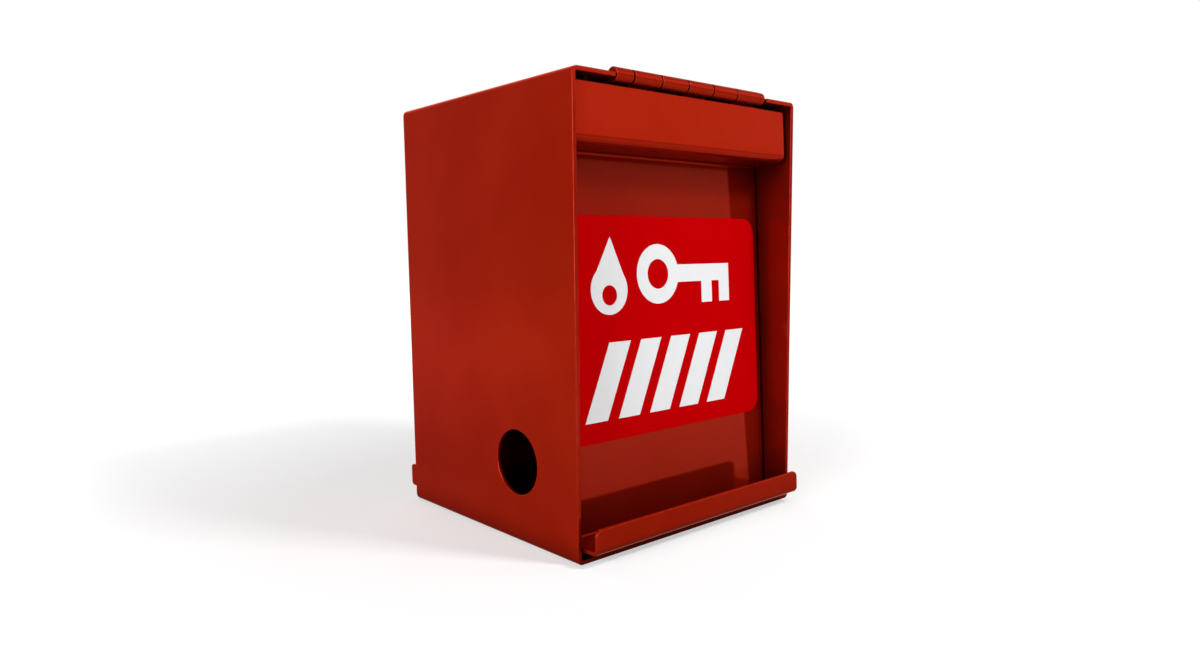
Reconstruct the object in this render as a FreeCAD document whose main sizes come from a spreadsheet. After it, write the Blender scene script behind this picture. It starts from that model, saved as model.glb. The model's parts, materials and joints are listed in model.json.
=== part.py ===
"""Fire department lock box: a wall-mounted steel box with a top-hinged, recessed door.

Millimetres. X runs to the right, Y to the rear and Z up. The origin is the centre of the
underside of the housing. The door and the pieces on it are drawn closed, about the hinge
axis, and the lever and its pieces about their pivot. Each is then turned to its rest angle.
"""

import FreeCAD, Part
import os
import re
import Sketcher

# Driving sizes: name, value in millimetres, degrees or a count, and what it is.
SIZES = [
    ("height", 152.4, "housing height, 6 in"),
    ("width", 109.54, "housing width, 4 5/16 in"),
    ("depth", 101.6, "housing depth, 4 in"),
    ("wall", 1.5, "housing sheet, 16 gauge"),
    ("back_bend", 0.8, "inner radius of the folds round the back"),
    ("side_bend", 0.4, "inner radius of the four welded edges"),
    ("lug_reach", 1.5, "rear lug, out of the back"),
    ("lug_height", 8.4, "rear lug, up the side wall"),
    ("lug_up", 5.4, "rear lug, above the base"),
    ("lug_round", 1.4, "rear lug, corner radius"),
    ("lug_root", 6.0, "rear lug, length that it overlaps the side wall"),
    ("conduit_radius", 11.11, "conduit knock-out, 7/8 in across"),
    ("conduit_back", 31.6, "conduit knock-out, behind the front edge"),
    ("conduit_up", 27.6, "conduit knock-out, above the base"),
    ("bolt_radius", 3.57, "wall bolt holes, 9/32 in across"),
    ("bolt_across", 76.2, "wall bolt holes, spacing across"),
    ("bolt_rise", 88.9, "wall bolt holes, spacing up"),
    ("hinge_setback", 2.5, "hinge axis behind the front edge"),
    ("hinge_left", 18.4, "hinge, in from the left face"),
    ("first_knuckle", 7.7, "hinge, first knuckle, cut short"),
    ("knuckle", 12.7, "hinge, length of each full knuckle"),
    ("full_knuckles", 5, "hinge, count of full knuckles"),
    ("knuckle_gap", 0.6, "hinge, gap between knuckles"),
    ("knuckle_radius", 2.3, "hinge, barrel radius"),
    ("hinge_leaf", 1.0, "hinge, leaf thickness"),
    ("leaf_reach", 19.0, "hinge, leaf width from the axis"),
    ("leaf_relief", 0.6, "hinge, gap from barrel to the leaf plate"),
    ("hinge_pin_radius", 1.2, "hinge pin radius"),
    ("pin_cap", 2.3, "hinge pin, length of the head at its right end"),
    ("pin_cap_inset", 0.1, "hinge pin, head smaller than the barrel, in radius"),
    ("running_gap", 0.05, "radial gap of the pins in what turns on them"),
    ("notch_gap", 0.7, "gap from hinge to the notch in the top"),
    ("door_gap", 1.2, "gap beside the door, mean of the two sides"),
    ("door_set", 0.75, "how far the door is set to the left"),
    ("door_sheet", 1.5, "door sheet, 16 gauge"),
    ("door_bend", 1.0, "inner radius of the door's folds"),
    ("door_angle", 2.8, "how far the door hangs open, degrees"),
    ("band_drop", 3.2, "door band, top edge below the hinge axis"),
    ("band_height", 18.5, "door band, height"),
    ("band_corner", 1.2, "door band, radius of the top corners"),
    ("recess", 14.0, "door panel, behind the band's face"),
    ("floor_gap", 2.4, "gap under the closed door"),
    ("lip_forward", 2.0, "door lip, in front of the band's face"),
    ("lip_height", 8.5, "door lip, height"),
    ("lip_corner", 2.2, "door lip, radius of the top corners"),
    ("label_margin", 2.5, "label, in from each side of the door"),
    ("label_height", 75.0, "label height"),
    ("label_drop", 41.9, "label, top edge below the hinge axis"),
    ("label_corner", 6.0, "label corner radius"),
    ("label_film", 0.15, "label film thickness"),
    ("ink", 0.1, "thickness of the white print"),
    ("symbol_height", 26.0, "print, height of each of the two rows"),
    ("symbol_gap", 9.2, "print, gap between the two rows"),
    ("row_margin", 8.4, "print, in from each side of the label"),
    ("bar_width", 10.0, "print, width of a slanted bar"),
    ("bar_count", 5, "print, count of slanted bars"),
    ("bar_slant", 25.0, "print, slant of the bars, degrees"),
    ("stop_up", 68.0, "door stops, height of the middle"),
    ("stop_height", 16.0, "door stops, height"),
    ("stop_width", 10.0, "door stops, width across"),
    ("stop_leg", 12.0, "door stops, length of the welded leg"),
    ("bumper_radius", 3.0, "rubber bumper radius"),
    ("bumper_thick", 2.2, "rubber bumper thickness"),
    ("shut_gap", 0.35, "gap where a moving piece meets its stop"),
    ("plate", 2.0, "lock bracket and staple base, sheet thickness"),
    ("bracket_width", 40.0, "lock bracket width"),
    ("bracket_low", 58.0, "lock bracket, lower edge"),
    ("bracket_high", 130.0, "lock bracket, upper edge"),
    ("ear_height", 20.0, "lock bracket, height of the ears"),
    ("ear_round", 5.0, "lock bracket, corner radius of the ears"),
    ("ear_lead", 7.0, "lock bracket, ears in front of the pivot"),
    ("rivet_radius", 2.0, "rivet shank radius"),
    ("rivet_head", 3.3, "rivet head radius"),
    ("rivet_high", 1.3, "rivet head height"),
    ("rivet_edge", 6.0, "bracket rivets, in from the edges of the bracket"),
    ("pivot_stand", 21.3, "lever pivot in front of the bracket"),
    ("pivot_up", 116.0, "lever pivot above the base"),
    ("pivot_radius", 2.5, "lever pivot pin radius"),
    ("pin_head", 4.2, "pivot pin head radius"),
    ("pin_head_high", 1.8, "pivot pin head height"),
    ("clip_thick", 0.8, "retaining clip thickness"),
    ("clip_radius", 4.6, "retaining clip outer radius"),
    ("groove", 0.5, "depth of the clip's groove"),
    ("lever_plate", 2.5, "lever thickness"),
    ("ear_gap", 3.0, "gap between the lever and each ear of the bracket"),
    ("lever_offset", 4.6, "lever's rear face in front of the pivot, when pressed"),
    ("lever_drop", 66.0, "lever length below the pivot"),
    ("lever_tail", 11.0, "lever length above the pivot"),
    ("lever_ear", 5.0, "lever ear, half height"),
    ("lever_swing", 10.0, "how far the lever springs out, degrees"),
    ("lever_round", 4.0, "lever corner radius"),
    ("grip", 8.0, "lever finger tab length"),
    ("staple_plate", 4.0, "staple thickness"),
    ("staple_height", 18.0, "staple height"),
    ("staple_drop", 40.0, "staple centre below the pivot"),
    ("staple_round", 7.0, "staple corner radius"),
    ("staple_edge", 4.5, "metal beyond the padlock hole"),
    ("shackle_radius", 5.55, "padlock hole radius, 7/16 in across"),
    ("shackle_gap", 0.8, "padlock hole in front of the pressed lever"),
    ("slot_side", 0.7, "lever slot, gap beside the staple"),
    ("slot_low", 4.5, "lever slot, gap below the staple"),
    ("slot_high", 2.5, "lever slot, gap above the staple"),
    ("spacer_radius", 4.0, "spacer outer radius"),
    ("stop_radius", 2.2, "stop pin radius"),
    ("stop_rise", 8.0, "stop pin above the pivot"),
    ("coil_inner", 2.9, "lever spring, inner radius"),
    ("wire_radius", 0.6, "lever spring, wire radius"),
    ("coil_length", 8.0, "lever spring, length of the coil"),
    ("spring_leg", 9.0, "lever spring, length of each leg"),
    ("case_width", 10.3, "switch, across"),
    ("case_deep", 15.9, "switch, front to back"),
    ("case_high", 27.8, "switch, height"),
    ("nut_gap", 1.6, "gap between the staple and the switch nuts"),
    ("cover_thick", 2.0, "switch cover thickness"),
    ("plunger_drop", 16.0, "switch plunger below the pivot"),
    ("plunger_edge", 9.0, "switch plunger below the top of the case"),
    ("plunger_radius", 1.8, "switch plunger radius"),
    ("plunger_spare", 1.0, "plunger left out of the case when pressed"),
    ("plunger_root", 2.2, "plunger length inside the case at rest"),
    ("plunger_gap", 0.1, "gap between lever and plunger at rest"),
    ("plunger_bore", 6.0, "depth of the plunger's bore"),
    ("screw_pitch", 22.2, "switch screws, spacing"),
    ("screw_edge", 2.9, "switch screws, in from the rear of the case"),
    ("screw_radius", 1.5, "switch screw radius, M3"),
    ("screw_head", 2.8, "switch screw head radius"),
    ("screw_head_high", 2.0, "switch screw head height"),
    ("nut_radius", 3.1, "switch nut, radius over the corners"),
    ("nut_high", 2.4, "switch nut height"),
    ("angle_sheet", 1.5, "switch bracket sheet"),
    ("blade_thick", 0.8, "switch terminal thickness"),
    ("blade_width", 4.8, "switch terminal width"),
    ("blade_long", 6.5, "switch terminal length"),
    ("blade_pitch", 9.6, "switch terminal spacing"),
    ("blade_count", 3, "switch terminal count"),
]

# Places that several pieces share, worked out from the driving sizes.
PLACES = [
    ("front", "-depth / 2"),
    ("back", "depth / 2"),
    ("side", "width / 2"),
    ("back_inner", "back - wall"),
    ("side_inner", "side - wall"),
    ("top_inner", "height - wall"),
    ("hinge_y", "front + hinge_setback"),
    ("hinge_z", "top_inner - hinge_leaf + knuckle_radius"),
    ("hinge_x", "hinge_left - side"),
    ("hinge_length", "first_knuckle + full_knuckles * knuckle"),
    ("hinge_end", "hinge_x + hinge_length"),
    ("cap_end", "hinge_end + shut_gap + pin_cap"),
    ("leaf_start", "knuckle_radius + leaf_relief"),
    ("leaf_near", "knuckle_radius - hinge_leaf"),
    ("door_half", "side_inner - door_gap"),
    ("band_front", "leaf_near - door_sheet"),
    ("band_low", "-band_drop - band_height"),
    ("panel_front", "band_front + recess"),
    ("panel_rear", "panel_front + door_sheet"),
    ("ledge_low", "wall + floor_gap - hinge_z"),
    ("lip_front", "band_front - lip_forward"),
    ("label_half", "door_half - label_margin"),
    ("row_half", "label_half - row_margin"),
    ("label_face", "panel_front - label_film"),
    ("label_middle", "-label_drop - label_height / 2"),
    ("stop_face", "hinge_y + panel_rear + shut_gap + bumper_thick"),
    ("base_face", "back_inner - plate"),
    ("pivot_y", "base_face - pivot_stand"),
    ("bracket_half", "bracket_width / 2"),
    ("ear_low", "bracket_high - ear_height"),
    ("ear_inner", "bracket_half - plate"),
    ("lever_half", "ear_inner - ear_gap"),
    ("lever_front", "-lever_offset - lever_plate"),
    ("hole_y", "lever_front - shackle_gap - shackle_radius"),
    ("case_left", "staple_plate / 2 + nut_gap + nut_high"),
    ("case_front", "pivot_y - lever_offset + plunger_spare"),
    ("case_back", "case_front + case_deep"),
    ("case_top", "pivot_up - plunger_drop + plunger_edge"),
    ("case_low", "case_top - case_high"),
    ("case_middle", "case_left + case_width / 2"),
    ("case_right", "case_left + case_width"),
    ("guide_x", "case_middle - cover_thick / 2"),
    ("screw_y", "case_back - screw_edge"),
    ("coil_radius", "coil_inner + wire_radius"),
]

doc = FreeCAD.newDocument("lock_box")
sheet = doc.addObject("Spreadsheet::Sheet", "Sizes")
cells = {}
places = {}
for row, (name, size, meaning) in enumerate(SIZES, start=1):
    sheet.set("A%d" % row, meaning)
    sheet.set("B%d" % row, "%r" % size)
    sheet.setAlias("B%d" % row, name)
    cells[name] = "Sizes." + name
for name, rule in PLACES:
    places[name] = "(" + rule + ")"
doc.recompute()


def sized(expression):
    """Writes shared places out in full, and points each size at its cell."""
    text = str(expression)
    while any(word in places for word in re.findall(r"\b[a-z_]+\b", text)):
        text = re.sub(r"\b[a-z_]+\b", lambda m: places.get(m.group(0), m.group(0)), text)
    return re.sub(r"\b[a-z_]+\b", lambda m: cells.get(m.group(0), m.group(0)), text)


def value(expression):
    """The number that an expression in the driving sizes comes to."""
    return float(sheet.evalExpression(sized(expression)))


def bind(item, path, expression):
    """Ties one property of a document object to the driving sizes."""
    item.setExpression(path, sized(expression))


def place(item, x=0, y=0, z=0):
    """Ties an object's position to the driving sizes."""
    for path, expression in (("x", x), ("y", y), ("z", z)):
        bind(item, "Placement.Base." + path, expression)
    return item


def turned(item, x, y, z, angle):
    """Stands an object drawn about its own axis at a place, turned about X."""
    item.Placement = FreeCAD.Placement(
        FreeCAD.Vector(value(x), value(y), value(z)),
        FreeCAD.Rotation(FreeCAD.Vector(1, 0, 0), value(angle)),
    )
    bind(item, "Placement.Rotation.Angle", "(" + angle + ") * 1 deg")
    return place(item, x, y, z)


def on_door(item, x="0 - door_set"):
    """Hangs a piece drawn about the hinge axis with the door shut."""
    return turned(item, x, "hinge_y", "hinge_z", "0 - door_angle")


def on_lever(item):
    """Hangs a piece drawn about the lever's pivot with the lever pressed."""
    return turned(item, 0, "pivot_y", "pivot_up", "0 - lever_swing")


AXES = {
    "X": FreeCAD.Rotation(FreeCAD.Vector(0, 1, 0), 90),
    "Y": FreeCAD.Rotation(FreeCAD.Vector(1, 0, 0), -90),
    "Z": FreeCAD.Rotation(),
}


def block(name, x, y, z):
    """A box between two corners, each coordinate given as low and high."""
    item = doc.addObject("Part::Box", name)
    place(item, x[0], y[0], z[0])
    for path, (low, high) in (("Length", x), ("Width", y), ("Height", z)):
        bind(item, path, "(%s) - (%s)" % (high, low))
    return item


def rod(name, axis, radius, low, high, across, up):
    """A round bar along an axis, from low to high on it, at the other two coordinates."""
    item = doc.addObject("Part::Cylinder", name)
    item.Placement = FreeCAD.Placement(FreeCAD.Vector(), AXES[axis])
    where = {"X": (low, across, up), "Y": (across, low, up), "Z": (across, up, low)}[axis]
    place(item, *where)
    bind(item, "Radius", radius)
    bind(item, "Height", "(%s) - (%s)" % (high, low))
    return item


def joined(name, items):
    """One piece fused from overlapping or touching solids."""
    item = doc.addObject("Part::MultiFuse", name)
    item.Shapes = items
    item.Refine = True
    return item


def without(name, item, tools):
    """A piece less one or more tools."""
    tool = tools[0] if len(tools) == 1 else joined(name + "_tools", tools)
    result = doc.addObject("Part::Cut", name)
    result.Base = item
    result.Tool = tool
    result.Refine = True
    return result


def group(name, items):
    """Identical pieces kept as separate solids in one object."""
    item = doc.addObject("Part::Compound", name)
    item.Links = items
    return item


def edges_where(shape, wanted):
    """The numbers of a shape's edges that a rule picks."""
    return [i for i, edge in enumerate(shape.Edges, start=1) if wanted(edge)]


def along(edge, axis):
    """True for a straight edge that runs along the axis X, Y or Z."""
    box = edge.BoundBox
    spans = {"X": box.XLength, "Y": box.YLength, "Z": box.ZLength}
    reach = spans.pop(axis)
    return reach > 1e-3 and max(spans.values()) < 1e-4


def new_body(name):
    """An empty body, whose solid is one connected piece."""
    return doc.addObject("PartDesign::Body", name)


PLANES = {"X": "YZ_Plane", "Y": "XZ_Plane", "Z": "XY_Plane"}


def sketch_on(body, name, axis, low, high):
    """A sketch square to an axis, where an extrusion from low to high starts."""
    sketch = body.newObject("Sketcher::SketchObject", name)
    plane = [item for item in body.Origin.OriginFeatures if item.Role == PLANES[axis]][0]
    sketch.AttachmentSupport = (plane, [""])
    sketch.MapMode = "FlatFace"
    start = "0 - (%s)" % high if axis == "Y" else low
    bind(sketch, "AttachmentOffset.Base.z", start)
    return sketch


def fix_point(sketch, number, point, label, where):
    """Sets the two coordinates of a point of a sketch's element."""
    for kind, expression in (("DistanceX", where[0]), ("DistanceY", where[1])):
        index = sketch.addConstraint(Sketcher.Constraint(kind, number, point, value(expression)))
        name = label + kind[-1]
        sketch.renameConstraint(index, name)
        bind(sketch, "Constraints." + name, expression)


def add_polygon(sketch, corners):
    """A closed outline of straight lines through corners given in the driving sizes."""
    first = sketch.GeometryCount
    count = len(corners)
    spots = [FreeCAD.Vector(value(a), value(b), 0) for a, b in corners]
    for i in range(count):
        sketch.addGeometry(Part.LineSegment(spots[i], spots[(i + 1) % count]))
    for i in range(count):
        sketch.addConstraint(Sketcher.Constraint("Coincident", first + i, 2, first + (i + 1) % count, 1))
    for i in range(count):
        fix_point(sketch, first + i, 1, "p%d_" % (first + i), corners[i])


def add_circle(sketch, centre, radius):
    """A circle with its centre and radius given in the driving sizes."""
    spot = FreeCAD.Vector(value(centre[0]), value(centre[1]), 0)
    number = sketch.addGeometry(Part.Circle(spot, FreeCAD.Vector(0, 0, 1), value(radius)))
    fix_point(sketch, number, 3, "c%d_" % number, centre)
    index = sketch.addConstraint(Sketcher.Constraint("Radius", number, value(radius)))
    sketch.renameConstraint(index, "r%d" % number)
    bind(sketch, "Constraints.r%d" % number, radius)


def extrude(body, name, kind, axis, low, high, polygons=(), circles=()):
    """A pad or pocket from low to high along an axis, of polygons and circles."""
    sketch = sketch_on(body, name + "_sketch", axis, low, high)
    for corners in polygons:
        add_polygon(sketch, corners)
    for centre, radius in circles:
        add_circle(sketch, centre, radius)
    feature = body.newObject("PartDesign::" + kind, name)
    feature.Profile = sketch
    feature.Reversed = kind == "Pocket"
    bind(feature, "Length", "(%s) - (%s)" % (high, low))
    doc.recompute()
    return feature


def rectangle(a, b):
    """Corners of a rectangle from low and high on each of two coordinates."""
    return [(a[0], b[0]), (a[1], b[0]), (a[1], b[1]), (a[0], b[1])]


def fillet(body, name, base, radius, wanted):
    """Rounds the edges of a body's last feature that a rule picks."""
    feature = body.newObject("PartDesign::Fillet", name)
    feature.Base = (base, ["Edge%d" % i for i in edges_where(base.Shape, wanted)])
    bind(feature, "Radius", radius)
    doc.recompute()
    return feature


def near(a, b):
    """True where two lengths are the same."""
    return abs(a - b) < 1e-4


def mirrored(low, high):
    """A span and the same span on the other side of the middle plane."""
    return [(low, high), ("0 - (%s)" % high, "0 - (%s)" % low)]


PIECES = []


def keep(item, label):
    """Names a finished piece and lists it for writing."""
    item.Label = label
    PIECES.append(item)
    return item


def make_housing():
    """The box: folded round its back, welded along four edges, open in front, notched for the hinge."""
    body = new_body("Housing")
    full = rectangle(("0 - side", "side"), (0, "height"))
    extrude(body, "HousingBlock", "Pad", "Y", "front", "back", [full])
    hollow = rectangle(("0 - side_inner", "side_inner"), ("wall", "top_inner"))
    shell = extrude(body, "HousingHollow", "Pocket", "Y", "front - wall", "back_inner", [hollow])
    last = fillet(
        body, "HousingOuterEdges", shell, "side_bend + wall",
        lambda e: along(e, "Y") and near(abs(e.CenterOfMass.x), value("side")),
    )
    last = fillet(
        body, "HousingInnerEdges", last, "side_bend",
        lambda e: along(e, "Y") and near(abs(e.CenterOfMass.x), value("side_inner")),
    )
    last = fillet(
        body, "HousingOuterFolds", last, "back_bend + wall",
        lambda e: near(e.BoundBox.YMin, value("back")),
    )
    fillet(
        body, "HousingInnerFolds", last, "back_bend",
        lambda e: near(e.BoundBox.YMin, value("back_inner"))
        and near(e.BoundBox.YMax, value("back_inner")),
    )
    for number, (low, high) in enumerate(mirrored("side_inner", "side")):
        lug = rectangle(("back - lug_root", "back + lug_reach"), ("lug_up", "lug_up + lug_height"))
        pad = extrude(body, "HousingLug%d" % number, "Pad", "X", low, high, [lug])
        fillet(
            body, "HousingLugRound%d" % number, pad, "lug_round",
            lambda e: along(e, "X")
            and near(e.CenterOfMass.y, value("back + lug_reach"))
            and value(low) < e.CenterOfMass.x < value(high),
        )
    notch = rectangle(
        ("hinge_x - notch_gap", "cap_end + notch_gap"),
        ("front - wall", "hinge_y + knuckle_radius + notch_gap"),
    )
    extrude(body, "HousingNotch", "Pocket", "Z", "top_inner - wall", "height + wall", [notch])
    knockout = ("front + conduit_back", "conduit_up")
    extrude(
        body, "HousingKnockout", "Pocket", "X", "0 - side - wall", "0 - side_inner + wall",
        circles=[(knockout, "conduit_radius")],
    )
    bolts = [
        (("%s * bolt_across / 2" % i, "height / 2 + %s * bolt_rise / 2" % j), "bolt_radius")
        for i in ("-1", "1")
        for j in ("-1", "1")
    ]
    rivets = [(spot, "rivet_radius") for spot in BRACKET_RIVETS]
    extrude(
        body, "HousingHoles", "Pocket", "Y", "back_inner - wall", "back + wall", circles=bolts + rivets
    )
    keep(body, "housing_shell")


# Where the lock bracket is riveted to the back wall.
BRACKET_RIVETS = [
    ("%s * (bracket_half - rivet_edge)" % i, j)
    for i in ("-1", "1")
    for j in ("bracket_low + rivet_edge", "bracket_high - rivet_edge")
]


def knuckle_spans(parity):
    """Start and end of every second knuckle along the hinge, from the left."""
    count = 1 + int(value("full_knuckles"))
    ends = ["hinge_x"] + ["hinge_x + first_knuckle + %d * knuckle" % i for i in range(count)]
    spans = []
    for i in range(parity, count, 2):
        low = ends[i] if i == 0 else ends[i] + " + knuckle_gap / 2"
        high = ends[i + 1] if i == count - 1 else ends[i + 1] + " - knuckle_gap / 2"
        spans.append((low, high))
    return spans


def make_hinge_leaf(name, label, parity, standing, bore):
    """A hinge leaf drawn about the hinge axis, lying to the rear or standing below it."""
    solids = []
    cores = []
    whole = ("hinge_x", "hinge_end")
    face = ("0 - knuckle_radius", "hinge_leaf - knuckle_radius")
    if standing:
        face = ("leaf_near", "knuckle_radius")
        solids.append(block(name + "Plate", whole, face, ("0 - leaf_reach", "0 - leaf_start")))
    else:
        solids.append(block(name + "Plate", whole, ("leaf_start", "leaf_reach"), face))
    for number, span in enumerate(knuckle_spans(parity)):
        solids.append(rod("%sBarrel%d" % (name, number), "X", "knuckle_radius", span[0], span[1], 0, 0))
        cores.append(rod("%sBore%d" % (name, number), "X", bore, span[0], span[1], 0, 0))
        strap = "%sStrap%d" % (name, number)
        if standing:
            solids.append(block(strap, span, face, ("0 - leaf_start", 0)))
        else:
            solids.append(block(strap, span, (0, "leaf_start"), face))
    return keep(without(name, joined(name + "Solid", solids), cores), label)


def make_hinge():
    """The continuous hinge: one leaf under the top, one behind the door's band, and a headed pin."""
    fixed = make_hinge_leaf("FixedLeaf", "hinge_fixed_leaf", 0, False, "hinge_pin_radius")
    place(fixed, 0, "hinge_y", "hinge_z")
    moving = make_hinge_leaf(
        "MovingLeaf", "hinge_moving_leaf", 1, True, "hinge_pin_radius + running_gap"
    )
    on_door(moving, 0)
    shank = rod("HingePinShank", "X", "hinge_pin_radius", "hinge_x", "cap_end", "hinge_y", "hinge_z")
    head = rod(
        "HingePinHead", "X", "knuckle_radius - pin_cap_inset", "hinge_end + shut_gap", "cap_end",
        "hinge_y", "hinge_z",
    )
    keep(joined("HingePin", [shank, head]), "hinge_pin")


def make_door():
    """The door: band, return, recessed panel, ledge and lip, folded from one sheet."""
    body = new_body("Door")
    outline = [
        ("band_front", "0 - band_drop"),
        ("band_front", "band_low"),
        ("panel_front", "band_low"),
        ("panel_front", "ledge_low + door_sheet"),
        ("lip_front + door_sheet", "ledge_low + door_sheet"),
        ("lip_front + door_sheet", "ledge_low + lip_height"),
        ("lip_front", "ledge_low + lip_height"),
        ("lip_front", "ledge_low"),
        ("panel_rear", "ledge_low"),
        ("panel_rear", "band_low + door_sheet"),
        ("leaf_near", "band_low + door_sheet"),
        ("leaf_near", "0 - band_drop"),
    ]
    pad = extrude(body, "DoorSheet", "Pad", "X", "0 - door_half", "door_half", [outline])
    inner = [outline[i] for i in (2, 3, 4, 10)]
    outer = [outline[i] for i in (1, 7, 8, 9)]

    def at(edge, corners):
        spot = edge.CenterOfMass
        return along(edge, "X") and any(
            near(spot.y, value(a)) and near(spot.z, value(b)) for a, b in corners
        )

    folds = fillet(body, "DoorInnerFolds", pad, "door_bend", lambda e: at(e, inner))
    folds = fillet(body, "DoorOuterFolds", folds, "door_bend + door_sheet", lambda e: at(e, outer))
    lip_top = value("ledge_low + lip_height")
    band_top = value("0 - band_drop")
    ends = fillet(
        body, "DoorLipCorners", folds, "lip_corner",
        lambda e: along(e, "Y") and near(e.CenterOfMass.z, lip_top),
    )
    fillet(
        body, "DoorBandCorners", ends, "band_corner",
        lambda e: along(e, "Y") and near(e.CenterOfMass.z, band_top),
    )
    keep(on_door(body), "door")


def make_label():
    """The label on the panel and the white print on it, a flame, a key and slanted bars."""
    body = new_body("Label")
    low = "label_middle - label_height / 2"
    high = "label_middle + label_height / 2"
    sheet_face = rectangle(("0 - label_half", "label_half"), (low, high))
    pad = extrude(body, "LabelFilm", "Pad", "Y", "label_face", "panel_front", [sheet_face])
    fillet(body, "LabelCorners", pad, "label_corner", lambda e: along(e, "Y"))
    keep(on_door(body), "door_label")
    depth = ("label_face - ink", "label_face")
    upper = "(label_middle + symbol_gap / 2)"
    lower = "(label_middle - symbol_gap / 2 - symbol_height)"
    symbols = [print_flame(upper, depth), print_key(upper, depth)] + print_bars(lower, depth)
    keep(on_door(group("Print", symbols)), "label_symbols")


def print_flame(base, depth):
    """A flame: a round belly drawn up to a point, with a small drop left out of it."""
    body = new_body("Flame")
    middle = "(0 - row_half * 0.68)"
    belly = "symbol_height * 0.32"
    round_up = base + " + " + belly
    point = (middle + " + symbol_height * 0.04", base + " + symbol_height")
    tongue = [
        (middle + " - symbol_height * 0.315", round_up + " + symbol_height * 0.06"),
        (middle + " + symbol_height * 0.315", round_up + " + symbol_height * 0.06"),
        point,
    ]
    extrude(body, "FlameTongue", "Pad", "Y", depth[0], depth[1], [tongue])
    extrude(body, "FlameBelly", "Pad", "Y", depth[0], depth[1], circles=[((middle, round_up), belly)])
    drop = [((middle, base + " + symbol_height * 0.25"), "symbol_height * 0.13")]
    extrude(body, "FlameDrop", "Pocket", "Y", depth[0] + " - ink", depth[1] + " + ink", circles=drop)
    return body


def print_key(base, depth):
    """A key lying on its side: a ring, a shank and two bits."""
    body = new_body("Key")
    ring_x = "(0 - row_half * 0.11)"
    centre_z = base + " + symbol_height / 2"
    key_end = "row_half * 0.82"
    shank = rectangle(
        (ring_x + " + symbol_height * 0.3", key_end),
        (centre_z + " - symbol_height * 0.12", centre_z + " + symbol_height * 0.12"),
    )
    ring = [((ring_x, centre_z), "symbol_height * 0.4")]
    extrude(body, "KeyRing", "Pad", "Y", depth[0], depth[1], circles=ring)
    extrude(body, "KeyShank", "Pad", "Y", depth[0], depth[1], [shank])
    for number in range(2):
        start = key_end + " - symbol_height * (0.22 + %d * 0.38)" % number
        bit = rectangle(
            (start, start + " + symbol_height * 0.22"),
            (centre_z + " - symbol_height * 0.42", centre_z),
        )
        extrude(body, "KeyBit%d" % number, "Pad", "Y", depth[0], depth[1], [bit])
    eye = [((ring_x, centre_z), "symbol_height * 0.2")]
    extrude(body, "KeyEye", "Pocket", "Y", depth[0] + " - ink", depth[1] + " + ink", circles=eye)
    return body


def print_bars(base, depth):
    """A row of slanted bars, evenly spaced between the row's ends."""
    count = int(value("bar_count"))
    lean = "symbol_height * tan(bar_slant * 1 deg)"
    pitch = "((2 * row_half - bar_width - %s) / %d)" % (lean, count - 1)
    bars = []
    for i in range(count):
        start = "(0 - row_half + %d * %s)" % (i, pitch)
        top = base + " + symbol_height"
        slanted = [
            (start, base),
            (start + " + bar_width", base),
            (start + " + bar_width + " + lean, top),
            (start + " + " + lean, top),
        ]
        body = new_body("Bar%d" % i)
        extrude(body, "BarPad%d" % i, "Pad", "Y", depth[0], depth[1], [slanted])
        bars.append(body)
    return bars


def make_door_stops():
    """Two welded angle tabs behind the panel, each with a rubber bumper."""
    tabs = []
    bumpers = []
    tall = ("stop_up - stop_height / 2", "stop_up + stop_height / 2")
    for side in ("-1", "1"):
        flank = "Left" if side == "-1" else "Right"
        if side == "-1":
            across = ("0 - side_inner", "0 - side_inner + stop_width")
            along_wall = ("0 - side_inner", "0 - side_inner + wall")
        else:
            across = ("side_inner - stop_width", "side_inner")
            along_wall = ("side_inner - wall", "side_inner")
        face = block("StopFace" + flank, across, ("stop_face", "stop_face + wall"), tall)
        leg = block("StopLeg" + flank, along_wall, ("stop_face", "stop_face + stop_leg"), tall)
        tabs.append(joined("Stop" + flank, [face, leg]))
        middle = "%s * (side_inner - stop_width / 2)" % side
        bumpers.append(rod(
            "Bumper" + flank, "Y", "bumper_radius",
            "stop_face - bumper_thick", "stop_face", middle, "stop_up",
        ))
    keep(group("DoorStops", tabs), "door_stops")
    keep(group("DoorBumpers", bumpers), "door_bumpers")


def make_lock_bracket():
    """The lever's bracket: a plate on the back wall with two ears bent forward."""
    body = new_body("Bracket")
    plate = rectangle(("0 - bracket_half", "bracket_half"), ("bracket_low", "bracket_high"))
    extrude(body, "BracketPlate", "Pad", "Y", "base_face", "back_inner", [plate])
    front = "pivot_y - ear_lead"
    for number, (low, high) in enumerate(mirrored("ear_inner", "bracket_half")):
        ear = rectangle((front, "back_inner"), ("ear_low", "bracket_high"))
        pad = extrude(body, "BracketEar%d" % number, "Pad", "X", low, high, [ear])
        fillet(
            body, "BracketEarRound%d" % number, pad, "ear_round",
            lambda e: along(e, "X")
            and near(e.CenterOfMass.y, value(front))
            and value(low) < e.CenterOfMass.x < value(high),
        )
    stop = (STOP_SPOT, "stop_radius")
    pivot = (("pivot_y", "pivot_up"), "pivot_radius + running_gap")
    wide = ("0 - bracket_half - wall", "bracket_half + wall")
    extrude(body, "BracketBores", "Pocket", "X", wide[0], wide[1], circles=[pivot, stop])
    holes = [(spot, "rivet_radius") for spot in BRACKET_RIVETS + ANGLE_RIVETS]
    extrude(body, "BracketHoles", "Pocket", "Y", "base_face - wall", "back_inner + wall", circles=holes)
    keep(body, "lock_bracket")


# The stop pin sits behind the lever's tail, where the tail is with the lever out.
STOP_SPOT = (
    "pivot_y - lever_offset * cos(lever_swing * 1 deg)"
    " + stop_rise * tan(lever_swing * 1 deg) + shut_gap + stop_radius",
    "pivot_up + stop_rise",
)

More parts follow.
